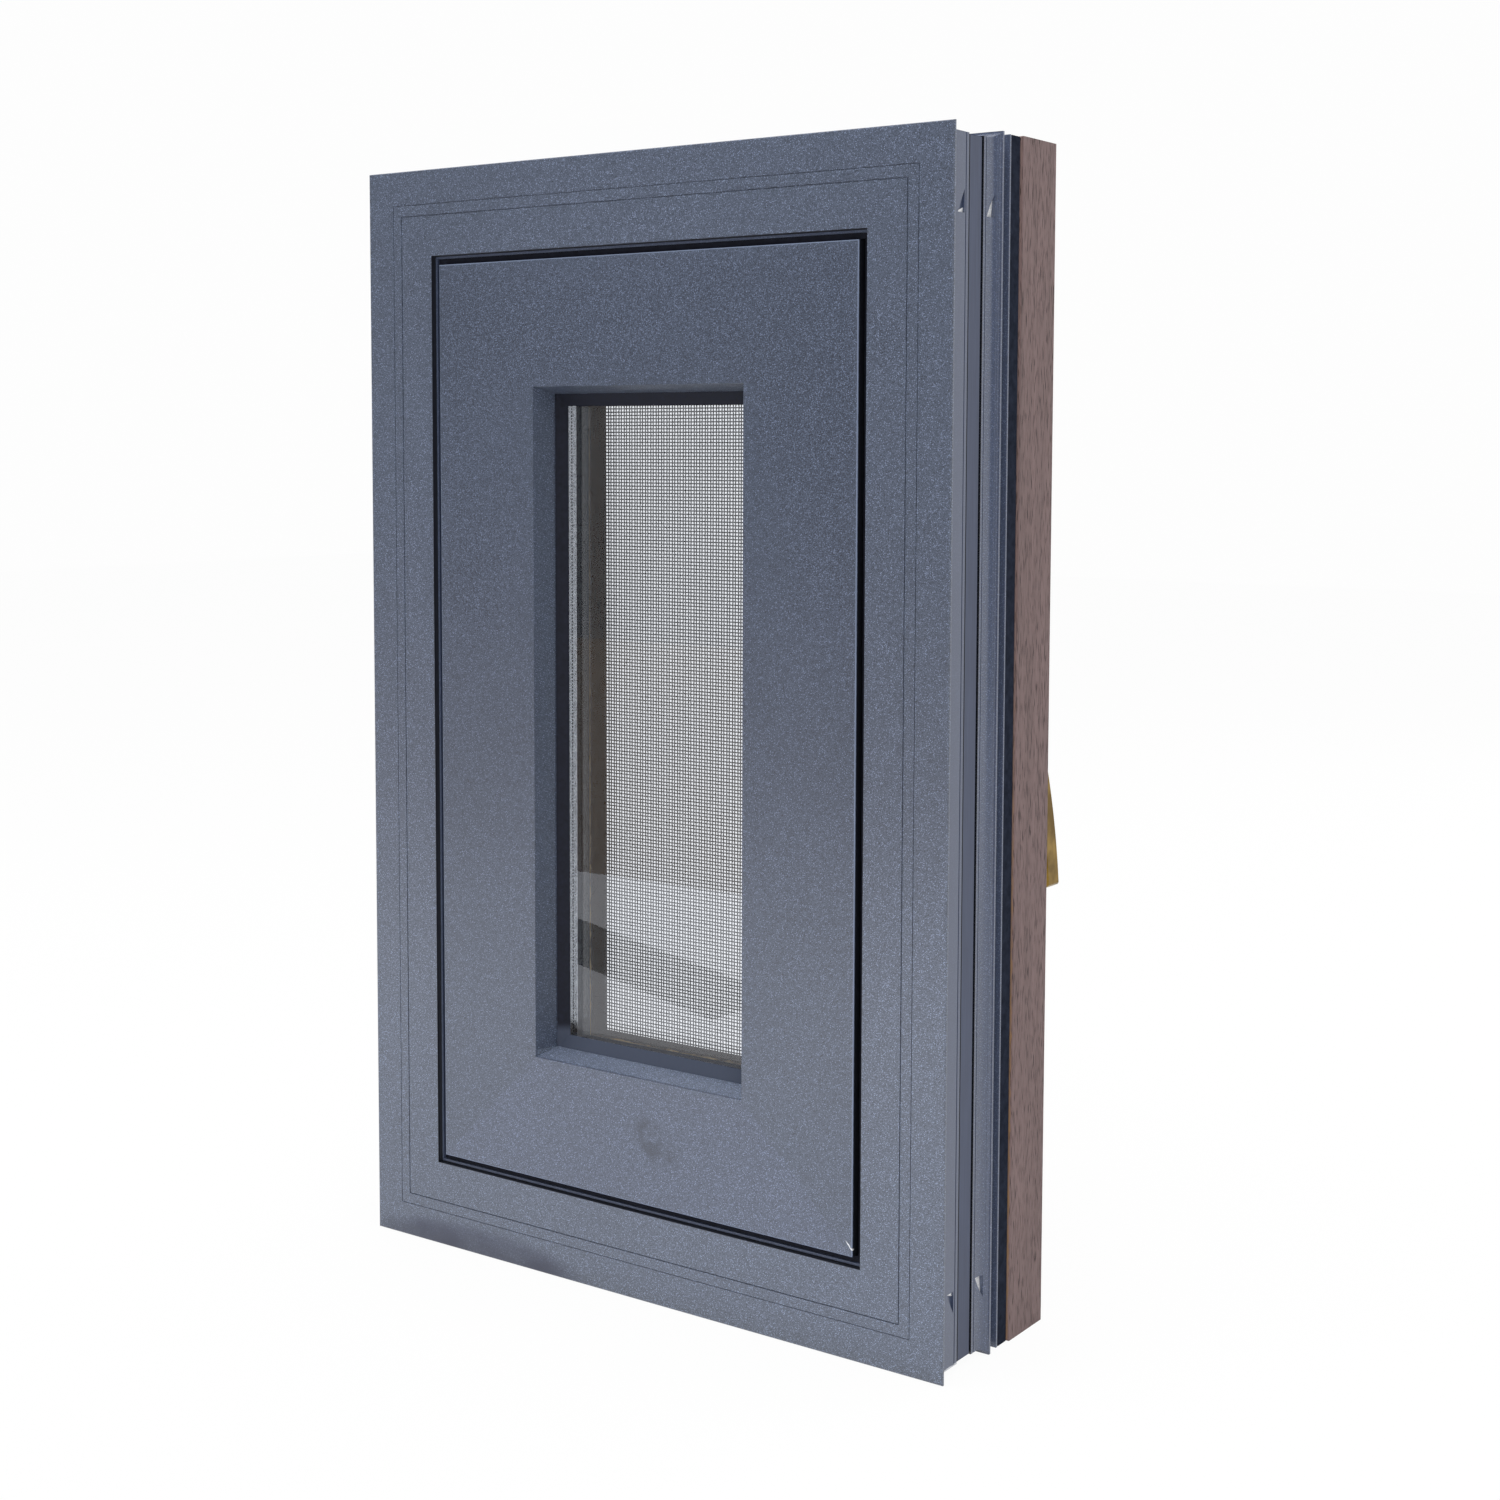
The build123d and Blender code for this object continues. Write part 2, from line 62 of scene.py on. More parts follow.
# Planes and edges of the window, read from the solids
front_y = cad_box[0].y
half_width = cad_box[1].x
middle_z = (cad_box[0].z + cad_box[1].z) / 2
wood_front_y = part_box("frame_wood_left")[0].y
inner_front_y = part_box("frame_inner_left")[0].y
cladding_back_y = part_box("frame_cladding_left")[1].y
sash_wood_front_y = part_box("glazing_gasket_inner")[1].y
mesh_low, mesh_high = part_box("screen_mesh")
bar_low, bar_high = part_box("glass_spacer_bar")
screen_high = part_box("screen_frame_left")[1]
plate_low, plate_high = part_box("lock_base")

# Camera, as the photograph was taken, with its angles in degrees
PHOTO_PIXELS = 1500
FOCAL_PIXELS = 2201.5
SENSOR_WIDTH = 36.0
CAMERA_PLACE = (0.70243, -0.96861, 0.44912)
CAMERA_YAW = 35.206
CAMERA_PITCH = -4.346
CAMERA_ROLL = 0.175
CAMERA_SHIFT_Y = -0.09

# Insect mesh
WIRE_PITCH = 1.84 * MM
WIRE_RADIUS = 0.42 * MM
WIRE_WAVE = 0.16 * MM
WIRE_SIDES = 3
UPRIGHT_WIRES = 118
LEVEL_WIRES = 240

# Insets from the flange's outer edge: the frame's opening and its rib, the sash's outer edge,
# the sash's slope to the glass and the free edge of the inner profile
FRAME_FACE = 47.0 * MM
RIB_INSET = FRAME_FACE + 0.4 * MM
SASH_INSET = 52.0 * MM
SLOPE_INSET = 119.3 * MM
INNER_EDGE = 11.5 * MM

# Heights of the sill's slope and of the painted light on the glazing gasket above it
SILL_TOP = 122.75 * MM
LIT_GASKET_TOP = 136.0 * MM
LIT_GASKET_FADE = 6.0 * MM

# Depths behind the front plane: the flange's smooth back, painted darker as shade, the sash's arris,
# with the width of its painted highlight, and the sash's sides, painted in shade
SMOOTH_DEPTH = 2.8 * MM
ARRIS_WIDTH = 0.5 * MM
ARRIS_DEPTH = 1.05 * MM
SIDE_DEPTH = 1.45 * MM

# Gaps in front of and behind the broad part of the thermal break, and the shade on the inner profile there
FRONT_GAP = 1.7 * MM
BACK_GAP = 1.175 * MM
GAP_SHADE = 0.175 * MM

# Corner crimps of the frame, as the profiles have them
FLANGE_REACH = 3.5 * MM
CRIMP_LENGTH = 11.0 * MM
CRIMP_WIDTH = 6.2 * MM
CRIMP_SINK = 1.3 * MM
CRIMP_FROM_CORNER = 35.5 * MM
CLADDING_CRIMP_DEPTH = 13.0 * MM
INNER_CRIMP_DEPTH = 40.4 * MM
CRIMP_CLEARANCE = 0.15 * MM
NICK_LENGTH = 2.2 * MM

# Bare metal at the sawn lower corners of the cladding
CUT_TOP = FLANGE_REACH + 1.5 * MM
CUT_FROM_SIDE = 6.0 * MM
CUT_DEPTH = 3.3 * MM
CUT_WANDER = 1.2 * MM

# Breathing holes and corner keys of the glass spacer bar
HOLE_PITCH = 1.8 * MM
HOLE_RADIUS = 0.41 * MM
HOLE_SHARE = 0.28
HOLE_DEPTH = 0.68
KEY_LENGTH = 15.0 * MM

# Screws of the lock plate and the bead that holds the mesh in the screen
SCREW_RADIUS = 4.2 * MM
SCREW_SIDES = 24
SCREW_HEIGHT = 0.9 * MM
SCREW_TAPER = 0.8
SCREW_FROM_END = 12.5 * MM
UPPER_SLOT_TURN = 0.5
LOWER_SLOT_TURN = 1.2
SLOT_WIDTH = 1.1 * MM
SLOT_DEPTH = 0.6 * MM
PLATE_THICKNESS = 6.0 * MM
BEAD_RADIUS = 1.2 * MM
BEAD_SIDES = 10

# Marks of use, a dark rubbed patch on the sash's bottom rail and a scratch at its lower right mitre,
# and a dark bluish patch along the flange's lower left edge
SMUDGE_PLACE = (13.0 * MM, front_y, 87.0 * MM)
SMUDGE_ANGLE = math.radians(39)
SMUDGE_REACH = (19.0 * MM, 3.0 * MM, 12.0 * MM)
SCRATCH_PLACE = (135.0 * MM, front_y, 56.3 * MM)
SCRATCH_ANGLE = math.radians(47)
SCRATCH_REACH = (5.6 * MM, 3.0 * MM, 0.5 * MM)
LOW_PATCH_PLACE = (-112.0 * MM, front_y, 1.0 * MM)
LOW_PATCH_ANGLE = 0.0
LOW_PATCH_REACH = (88.0 * MM, 4.0 * MM, 17.0 * MM)

# Powder coat: the tilt and scale of its grain, its flecks and their brightness, its soft clouds, the
# painted light on the sill's slope, and its texture on the outer faces, on the inner frame and on inner
# sash and screen
SKIN_TILT = (0.6, 0.45, 0.3)
GRAIN_SCALE = 2200.0
FLECK_SCALE = 1500.0
FLECK_GLEAM = 4.3
CLOUD_SCALE = 9.0
CLOUD_DARK = (0.94, 0.94, 0.94, 1.0)
CLOUD_LIGHT = (1.04, 1.04, 1.04, 1.0)
SILL_PAINTED_LIGHT = (1.95, 1.88, 1.72, 1.0)
OUTER_TEXTURE = {"speckle": 1.0, "shine": 1.0, "roughness": 0.34}
INNER_TEXTURE = {"speckle": 0.45, "shine": 0.75, "roughness": 0.25}
FINE_TEXTURE = {"speckle": 0.7, "shine": 0.75, "roughness": 0.3}

# Oak: how far figure and pores are drawn out along the grain, and the line on its front arris,
# raw timber on the frame and a painted highlight on the sash, stronger towards the bottom
FIGURE_STRETCH = 0.03
PORE_STRETCH = 0.06
FRAME_WEAR = 0.5 * MM
SASH_HIGHLIGHT_WIDTH = 1.0 * MM
LEVEL_WEAR_AND_HIGHLIGHT = 2.5
UPRIGHT_UNBROKEN = 0.6
LEVEL_UNBROKEN = 0.1
WEAR_AND_LIGHT_STARTS = middle_z + 0.08
WEAR_AND_LIGHT_FULL = middle_z - 0.16


# Colours

def tone(red, green, blue):
    """A colour from its 0 to 255 screen values."""
    def linear(level):
        share = level / 255
        return share / 12.92 if share <= 0.04045 else ((share + 0.055) / 1.055) ** 2.4

    return (linear(red), linear(green), linear(blue), 1.0)


def shaded(colour, strength):
    """The same colour, lighter or darker."""
    return tuple(channel * strength for channel in colour[:3]) + (1.0,)


FRAME_SLATE = tone(73, 81, 97)
SASH_SLATE = tone(66, 74, 90)
# The sash's bottom rail in a lighter slate: painted light from the floor below
LIT_RAIL_SLATE = tone(70, 78, 96)
INNER_SLATE = tone(74, 82, 102)
SCREEN_SLATE = tone(77, 84, 98)
# The flange's smooth back: a real smoother coat, painted darker and bluer as shade on that lit side
SHADED_SMOOTH_SLATE = tone(61, 71, 96)
# Painted shade in the gap between frame and sash, on the frame's reveal wall
REVEAL_SHADE = tone(24, 26, 33)
# Painted shade on the sash's outer sides in that gap
SASH_SIDE_SHADE = tone(22, 24, 30)
# A dark bluish patch low on the flange's left
LOW_PATCH_BLUE = tone(26, 34, 62)
CUT_METAL = tone(186, 189, 195)
SCRATCH_METAL = tone(236, 238, 242)
SHEARED_METAL = tone(242, 243, 245)
FIBRE_GREY = tone(77, 83, 101)
GAP_PAINTED_SHADE = tone(9, 10, 13)
SPACER_BLACK = tone(36, 40, 51)
RUBBER_BLACK = tone(29, 31, 41)
# Painted light on the up-facing lower glazing gasket
LIT_GASKET_GREY = tone(72, 79, 95)
FRAME_STAIN = tone(112, 92, 91)
FRAME_RAW_OAK = tone(126, 96, 66)
# The sash's oak stained darker than the frame's: painted shade on its reveal behind the glass
SASH_SHADED_STAIN = tone(62, 42, 29)
# A painted highlight on the sash oak's front arris
SASH_ARRIS_HIGHLIGHT = tone(226, 186, 112)
GLASS_PALE = (0.948, 0.966, 0.995, 1.0)
GLASS_CLEAR = (0.962, 0.975, 0.998, 1.0)
BAR_SILVER = tone(234, 238, 243)
BAR_HOLE = tone(66, 69, 76)
KEY_SILVER = tone(240, 242, 245)
BRASS_GOLD = tone(160, 130, 62)
BRASS_OLIVE = tone(101, 78, 30)
WIRE_BLACK = tone(33, 34, 37)


# Materials

def feed(tree, socket, value):
    """Links a socket to another one, or sets it to a plain value."""
    if isinstance(value, bpy.types.NodeSocket):
        tree.links.new(value, socket)
    else:
        socket.default_value = value


def add_node(tree, kind, inputs=None, **settings):
    """A shader node with its settings and inputs."""
    node = tree.nodes.new("ShaderNode" + kind)
    for setting, value in settings.items():
        setattr(node, setting, value)
    for socket, value in (inputs or {}).items():
        feed(tree, node.inputs[socket], value)
    return node


class Finish:
    """A material on Object coordinates, with short ways to add its nodes."""

    def __init__(self, name, **constants):
        self.material = bpy.data.materials.new(name)
        self.material.use_nodes = True
        self.tree = self.material.node_tree
        self.shader = self.tree.nodes["Principled BSDF"]
        self.place = self.add("TexCoord").outputs["Object"]
        for socket, value in constants.items():
            self.shader.inputs[socket.replace("_", " ")].default_value = value

    def add(self, kind, inputs=None, **settings):
        return add_node(self.tree, kind, inputs, **settings)

    def drive(self, socket, value):
        feed(self.tree, self.shader.inputs[socket], value)

    def stretched(self, *scale):
        return self.add("Mapping", {"Vector": self.place, "Scale": scale}).outputs["Vector"]

    def tilted(self):
        """Object coordinates turned out of the faces' planes, so that no face follows the noise's grid."""
        return self.add("Mapping", {"Vector": self.place, "Rotation": SKIN_TILT}).outputs["Vector"]

    def noise(self, scale, detail=2.0, roughness=0.5, place=None):
        inputs = {"Vector": place or self.place, "Scale": scale, "Detail": detail, "Roughness": roughness}
        return self.add("TexNoise", inputs).outputs["Fac"]

    def cells(self, scale, place):
        return self.add("TexVoronoi", {"Vector": place, "Scale": scale}).outputs

    def axis(self, name):
        return self.add("SeparateXYZ", {"Vector": self.place}).outputs[name]

    def maths(self, operation, *values):
        return self.add("Math", dict(enumerate(values)), operation=operation).outputs["Value"]

    def both(self, first, second):
        """The share that two masks have in common."""
        return self.maths("MULTIPLY", first, second)

    def step(self, value, start, end, low=0.0, high=1.0):
        """Eases from low at start to high at end."""
        inputs = {"Value": value, "From Min": start, "From Max": end, "To Min": low, "To Max": high}
        return self.add("MapRange", inputs, interpolation_type="SMOOTHSTEP").outputs["Result"]

    def above(self, value, edge, fade, share=1.0):
        """A mask that eases up to its share where a value passes an edge."""
        return self.step(value, edge - fade / 2, edge + fade / 2, 0.0, share)

    def below(self, value, edge, fade, share=1.0):
        """A mask that eases down from its share where a value passes an edge."""
        return self.step(value, edge + fade / 2, edge - fade / 2, 0.0, share)

    def ramp(self, value, *stops):
        """Colours at places along a value from 0 to 1."""
        node = self.add("ValToRGB", {"Fac": value})
        elements = node.color_ramp.elements
        while len(elements) < len(stops):
            elements.new(1.0)
        for element, (place, colour) in zip(elements, stops):
            element.position = place
            element.color = colour
        return node.outputs["Color"]

    def mix(self, share, first, second, blend="MIX"):
        node = self.add("Mix", data_type="RGBA", blend_type=blend)
        colours = [socket for socket in node.inputs if socket.type == "RGBA"]
        feed(self.tree, node.inputs["Factor"], share)
        feed(self.tree, colours[0], first)
        feed(self.tree, colours[1], second)
        return next(socket for socket in node.outputs if socket.type == "RGBA")

    def inset(self):
        """Distance in from the window's outer edge, as the profiles are drawn."""
        from_side = self.maths("SUBTRACT", half_width, self.maths("ABSOLUTE", self.axis("X")))
        from_middle = self.maths("ABSOLUTE", self.maths("SUBTRACT", self.axis("Z"), middle_z))
        return self.maths("MINIMUM", from_side, self.maths("SUBTRACT", middle_z, from_middle))

    def spot(self, centre, angle, reach):
        """A mask that is 1 in the middle of an oval turned in the window's plane and 0 outside it."""
        inputs = {"Vector": self.place, "Location": centre, "Rotation": (0, angle, 0), "Scale": reach}
        inside = self.add("Mapping", inputs, vector_type="TEXTURE").outputs["Vector"]
        away = self.add("VectorMath", {"Vector": inside}, operation="LENGTH").outputs["Value"]
        return self.step(away, 1.0, 0.55)

    def bump(self, height, strength, distance):
        inputs = {"Height": height, "Strength": strength, "Distance": distance}
        self.drive("Normal", self.add("Bump", inputs).outputs["Normal"])


def slate_coat(name, colour, speckle, shine, roughness, marks):
    """Textured satin powder coat: slate ground with fine grain and pale flecks."""
    coat = Finish(name, Specular_IOR_Level=shine)
    skin = coat.tilted()
    grain = coat.noise(GRAIN_SCALE, roughness=0.6, place=skin)
    dark_grain = shaded(colour, 1 - 0.8 * speckle)
    light_grain = shaded(colour, 1 + 1.4 * speckle)
    ground = coat.ramp(grain, (0.3, dark_grain), (0.5, colour), (0.72, light_grain))
    flecks = coat.cells(FLECK_SCALE, skin)
    near_fleck = coat.step(flecks["Distance"], 0.45, 0.16)
    fleck_draw = coat.add("SeparateColor", {"Color": flecks["Color"]}).outputs["Red"]
    chosen = coat.step(fleck_draw, 0.6, 0.7, 0.0, speckle)
    ground = coat.mix(coat.both(near_fleck, chosen), ground, shaded(colour, FLECK_GLEAM))
    clouds = coat.noise(CLOUD_SCALE, detail=3.0)
    cloud_tint = coat.ramp(clouds, (0.3, CLOUD_DARK), (0.7, CLOUD_LIGHT))
    ground = coat.mix(1.0, ground, cloud_tint, "MULTIPLY")
    coat.drive("Base Color", marks(coat, ground, colour))
    coat.drive("Roughness", coat.step(grain, 0.2, 0.8, roughness + 0.05, roughness - 0.05))
    coat.bump(grain, 0.2 * speckle, 0.15 * MM)
    return coat.material


def cut_ends(coat, ground):
    """A thin line of bare metal along the sawn lower corners of the cladding."""
    wander = coat.maths("MULTIPLY", coat.noise(420.0, detail=3.0), CUT_WANDER)
    low = coat.below(coat.maths("ADD", coat.axis("Z"), wander), CUT_TOP, 0.2 * MM)
    out_x = coat.maths("ABSOLUTE", coat.axis("X"))
    at_corner = coat.above(out_x, half_width - CUT_FROM_SIDE, 1.0 * MM)
    behind = coat.above(coat.axis("Y"), front_y + CUT_DEPTH, 0.6 * MM)
    return coat.mix(coat.both(coat.both(low, at_corner), behind), ground, CUT_METAL)


def frame_marks(coat, ground, _colour):
    """A dark bluish patch low on the flange, the smooth coat behind it painted darker as shade, and painted
    shade on the reveal by the sash, with a lighter rib.
    """
    # A dark bluish patch painted along the flange's lower left edge
    patchy = coat.step(coat.noise(40.0), 0.3, 0.65, 0.6, 0.95)
    low_patch = coat.both(coat.spot(LOW_PATCH_PLACE, LOW_PATCH_ANGLE, LOW_PATCH_REACH), patchy)
    ground = coat.mix(low_patch, ground, LOW_PATCH_BLUE)
    # The smooth coat behind the flange is painted darker and bluer: painted shade on its lit side
    smooth = coat.above(coat.axis("Y"), front_y + SMOOTH_DEPTH, 1.2 * MM, 0.85)
    ground = cut_ends(coat, coat.mix(smooth, ground, SHADED_SMOOTH_SLATE))
    inset = coat.inset()
    # The frame's reveal wall by the sash is painted near black, a painted shade, save for the rib
    in_reveal = coat.above(inset, FRAME_FACE - 0.1 * MM, 0.1 * MM)
    off_rib = coat.below(inset, RIB_INSET, 0.2 * MM)
    return coat.mix(coat.both(in_reveal, off_rib), ground, REVEAL_SHADE)


def sash_marks(coat, ground, colour):
    """Painted shade on the outer sides, a painted highlight on the arris, painted light on the sill's
    slope, a rubbed patch and a scratch.
    """
    inset = coat.inset()
    # A painted highlight along the sash's front arris, standing in for its catch-light
    arris_highlight = coat.below(inset, SASH_INSET + ARRIS_WIDTH, 0.5 * MM, 0.9)
    front = coat.below(coat.axis("Y"), front_y + ARRIS_DEPTH, 0.3 * MM)
    ground = coat.mix(coat.both(arris_highlight, front), ground, shaded(colour, 3.2))
    # The sash's outer sides behind the arris are painted near black: painted shade in the gap
    outside = coat.below(inset, SASH_INSET + 0.2 * MM, 0.2 * MM)
    behind = coat.above(coat.axis("Y"), front_y + SIDE_DEPTH, 0.3 * MM)
    ground = coat.mix(coat.both(outside, behind), ground, SASH_SIDE_SHADE)
    # The sill's slope is painted lighter: painted light on the up-facing slope
    on_slope = coat.above(inset, SLOPE_INSET, 0.4 * MM)
    on_sill = coat.below(coat.axis("Z"), SILL_TOP, 0.3 * MM)
    ground = coat.mix(coat.both(on_slope, on_sill), ground, SILL_PAINTED_LIGHT, "MULTIPLY")
    patchy = coat.step(coat.noise(110.0, detail=4.0), 0.42, 0.62, 0.12, 0.7)
    smudge = coat.both(coat.spot(SMUDGE_PLACE, SMUDGE_ANGLE, SMUDGE_REACH), patchy)
    ground = coat.mix(smudge, ground, shaded(colour, 0.4))
    broken = coat.step(coat.noise(700.0), 0.34, 0.5)
    scratch = coat.both(coat.spot(SCRATCH_PLACE, SCRATCH_ANGLE, SCRATCH_REACH), broken)
    return coat.mix(scratch, ground, SCRATCH_METAL)


def inner_marks(coat, ground, colour):
    """The front edge of the inner profile, in the shade of the gap beside the thermal break."""
    in_gap = coat.below(coat.axis("Y"), inner_front_y + GAP_SHADE, 0.15 * MM)
    at_edge = coat.below(coat.inset(), INNER_EDGE, 1.0 * MM)
    return coat.mix(coat.both(in_gap, at_edge), ground, shaded(colour, 0.12))


def polyamide_strip():
    """Fibre-filled plastic of the thermal break, with faint drawing lines and painted shade on its necks in
    the gaps.
    """
    strip = Finish("polyamide_strip", Specular_IOR_Level=0.2)
    lines = strip.noise(900.0, place=strip.stretched(0.04, 1.0, 0.04))
    body = strip.ramp(lines, (0.3, shaded(FIBRE_GREY, 0.86)), (0.7, shaded(FIBRE_GREY, 1.1)))
    # Painted shade: the strip's faces in the gaps beside the metal are painted near black
    before = strip.below(strip.axis("Y"), cladding_back_y + FRONT_GAP, 0.2 * MM)
    behind = strip.above(strip.axis("Y"), inner_front_y - BACK_GAP, 0.15 * MM)
    strip.drive("Base Color", strip.mix(strip.maths("MAXIMUM", before, behind), body, GAP_PAINTED_SHADE))
    strip.drive("Roughness", strip.step(lines, 0.2, 0.8, 0.5, 0.62))
    strip.bump(lines, 0.1, 0.1 * MM)
    return strip.material


def soft_black(name, colour, scale, sheen, lit_top=0.0):
    """Rubber or plastic: near black with a dusty bloom, and painted light, a paler grey, on what lies below
    the given height.
    """
    rubber = Finish(name, Specular_IOR_Level=sheen)
    bloom = rubber.noise(scale, detail=4.0, roughness=0.6)
    ground = rubber.ramp(bloom, (0.3, shaded(colour, 0.7)), (0.72, shaded(colour, 1.35)))
    # Painted light: what lies below the given height is painted a paler grey
    lit_band = rubber.below(rubber.axis("Z"), lit_top - LIT_GASKET_FADE / 2, LIT_GASKET_FADE, 0.8)
    rubber.drive("Base Color", rubber.mix(lit_band, ground, LIT_GASKET_GREY))
    rubber.drive("Roughness", rubber.step(bloom, 0.3, 0.7, 0.5, 0.75))
    rubber.bump(bloom, 0.15, 0.1 * MM)
    return rubber.material


def stained_oak(name, stain, sheen, run, arris_y, wear_and_highlight, raw_and_lit_colour, unbroken):
    """Stained oak with thin dark pores along its run and a pale line on its front arris, stronger towards
    the bottom: raw timber on the frame's oak, a painted highlight on the sash's.
    """
    oak = Finish(name, Specular_IOR_Level=sheen)
    broad = oak.stretched(*(FIGURE_STRETCH if axis == run else 1.0 for axis in "XYZ"))
    along = oak.stretched(*(PORE_STRETCH if axis == run else 1.0 for axis in "XYZ"))
    figure = oak.noise(260.0, detail=3.0, roughness=0.55, place=broad)
    fibre = oak.noise(2600.0, place=along)
    pores = oak.noise(2100.0, detail=1.0, place=along)
    ground = oak.ramp(figure, (0.3, shaded(stain, 0.82)), (0.5, stain), (0.72, shaded(stain, 1.16)))
    ground = oak.mix(oak.step(fibre, 0.35, 0.65, 0.0, 0.3), ground, shaded(stain, 0.72))
    pore = oak.step(pores, 0.575, 0.65)
    ground = oak.mix(oak.maths("MULTIPLY", pore, 0.9), ground, shaded(stain, 0.16))
    wander = oak.maths("MULTIPLY", oak.noise(170.0, detail=4.0), -3.0 * wear_and_highlight)
    # A pale line on the front arris: real raw timber on the frame, a painted highlight on the sash
    raw = oak.below(oak.maths("ADD", oak.axis("Y"), wander), arris_y - 0.6 * wear_and_highlight, 0.6 * wear_and_highlight)
    low = oak.step(oak.axis("Z"), WEAR_AND_LIGHT_STARTS, WEAR_AND_LIGHT_FULL, 0.1, 0.95)
    patchy = oak.step(oak.noise(75.0, detail=3.0), 0.42, 0.6, unbroken, 1.0)
    oak.drive("Base Color", oak.mix(oak.both(raw, oak.both(low, patchy)), ground, raw_and_lit_colour))
    oak.drive("Roughness", oak.step(pores, 0.4, 0.7, 0.46, 0.64))
    oak.bump(oak.maths("SUBTRACT", fibre, pore), 0.25, 0.15 * MM)
    return oak.material


def clear_glass():
    """Float glass with the faintest smear."""
    glass = Finish("clear_glass", Transmission_Weight=1.0, IOR=1.5)
    smear = glass.noise(14.0, detail=4.0)
    glass.drive("Base Color", glass.ramp(smear, (0.3, GLASS_PALE), (0.7, GLASS_CLEAR)))
    glass.drive("Roughness", glass.step(smear, 0.5, 0.8, 0.0, 0.012))
    return glass.material


def spacer_bar_metal():
    """Pale mill aluminium with a row of breathing holes and bright keys at its corners."""
    bar = Finish("spacer_bar_metal", Metallic=1.0)
    rolled = bar.noise(400.0)
    metal = bar.ramp(rolled, (0.3, shaded(BAR_SILVER, 0.88)), (0.7, shaded(BAR_SILVER, 1.06)))
    hole_y = bar_low.y + HOLE_DEPTH * (bar_high.y - bar_low.y)
    across = bar.maths("ABSOLUTE", bar.maths("SUBTRACT", bar.axis("Y"), hole_y))
    run = bar.maths("ADD", bar.axis("Z"), bar.axis("X"))
    share = bar.maths("FRACT", bar.maths("DIVIDE", run, HOLE_PITCH))
    along = bar.maths("ABSOLUTE", bar.maths("SUBTRACT", share, 0.5))
    hole = bar.both(bar.below(across, HOLE_RADIUS, 0.18 * MM), bar.below(along, HOLE_SHARE, 0.12))
    out_x = bar.maths("ABSOLUTE", bar.axis("X"))
    out_z = bar.maths("ABSOLUTE", bar.maths("SUBTRACT", bar.axis("Z"), middle_z))
    key_x = bar.above(out_x, bar_high.x - KEY_LENGTH, 1.0 * MM)
    key_z = bar.above(out_z, bar_high.z - middle_z - KEY_LENGTH, 1.0 * MM)
    metal = bar.mix(hole, metal, BAR_HOLE)
    bar.drive("Base Color", bar.mix(bar.both(key_x, key_z), metal, KEY_SILVER))
    bar.drive("Roughness", bar.step(rolled, 0.3, 0.7, 0.14, 0.24))
    return bar.material


def lever_brass():
    """Satin brass, brushed lengthwise and darkened to olive by handling."""
    brass = Finish("lever_brass", Metallic=1.0)
    brushed = brass.noise(1400.0, place=brass.stretched(1.0, 1.0, 0.05))
    tarnish = brass.noise(45.0, detail=4.0, roughness=0.6)
    metal = brass.ramp(brushed, (0.3, shaded(BRASS_GOLD, 0.75)), (0.7, shaded(BRASS_GOLD, 1.12)))
    olive = brass.step(tarnish, 0.38, 0.64, 0.25, 0.85)
    brass.drive("Base Color", brass.mix(olive, metal, BRASS_OLIVE))
    brass.drive("Roughness", brass.step(tarnish, 0.3, 0.7, 0.28, 0.44))
    brass.bump(brushed, 0.06, 0.05 * MM)
    return brass.material


def bare_aluminium():
    """Freshly sheared aluminium, bright with fine shear lines."""
    metal = Finish("bare_aluminium", Metallic=0.25)
    shear = metal.noise(1600.0, place=metal.stretched(1.0, 0.2, 1.0))
    metal.drive("Base Color", metal.ramp(shear, (0.3, shaded(SHEARED_METAL, 0.72)), (0.7, SHEARED_METAL)))
    metal.drive("Roughness", metal.step(shear, 0.3, 0.7, 0.28, 0.45))
    return metal.material


def coated_wire():
    """Black vinyl-coated wire of the insect mesh."""
    wire = Finish("coated_wire")
    coat = wire.noise(700.0)
    black = wire.ramp(coat, (0.3, shaded(WIRE_BLACK, 0.7)), (0.7, shaded(WIRE_BLACK, 1.3)))
    wire.drive("Base Color", black)
    wire.drive("Roughness", wire.step(coat, 0.3, 0.7, 0.4, 0.55))
    return wire.material


def paint(material, *names):
    """Gives CAD nodes their finish."""
    for name in names:
        slots = nodes[name].data.materials
        slots.clear()
        slots.append(material)


def ring(name):
    return [f"{name}_{side}" for side in SIDES]


frame_coat = slate_coat("frame_coat", FRAME_SLATE, marks=frame_marks, **OUTER_TEXTURE)
sash_coat = slate_coat("sash_coat", SASH_SLATE, marks=sash_marks, **OUTER_TEXTURE)
# A lighter copy of the sash coat for its bottom rail: painted light from the floor below
lit_sash_rail_coat = slate_coat("lit_sash_rail_coat", LIT_RAIL_SLATE, marks=sash_marks, **OUTER_TEXTURE)
inner_coat = slate_coat("inner_coat", INNER_SLATE, marks=inner_marks, **INNER_TEXTURE)
screen_coat = slate_coat("screen_coat", SCREEN_SLATE, marks=inner_marks, **FINE_TEXTURE)
paint(frame_coat, *ring("frame_cladding"))
paint(sash_coat, "sash_cladding_top", "sash_cladding_left", "sash_cladding_right")
paint(lit_sash_rail_coat, "sash_cladding_bottom")
paint(inner_coat, *ring("frame_inner"))
paint(screen_coat, *ring("sash_inner"), *ring("screen_frame"))
paint(polyamide_strip(), "frame_thermal_breaks", "sash_thermal_breaks")

rubber_look = {"colour": RUBBER_BLACK, "scale": 420.0, "sheen": 0.14}
gasket_rubber = soft_black("gasket_rubber", **rubber_look)
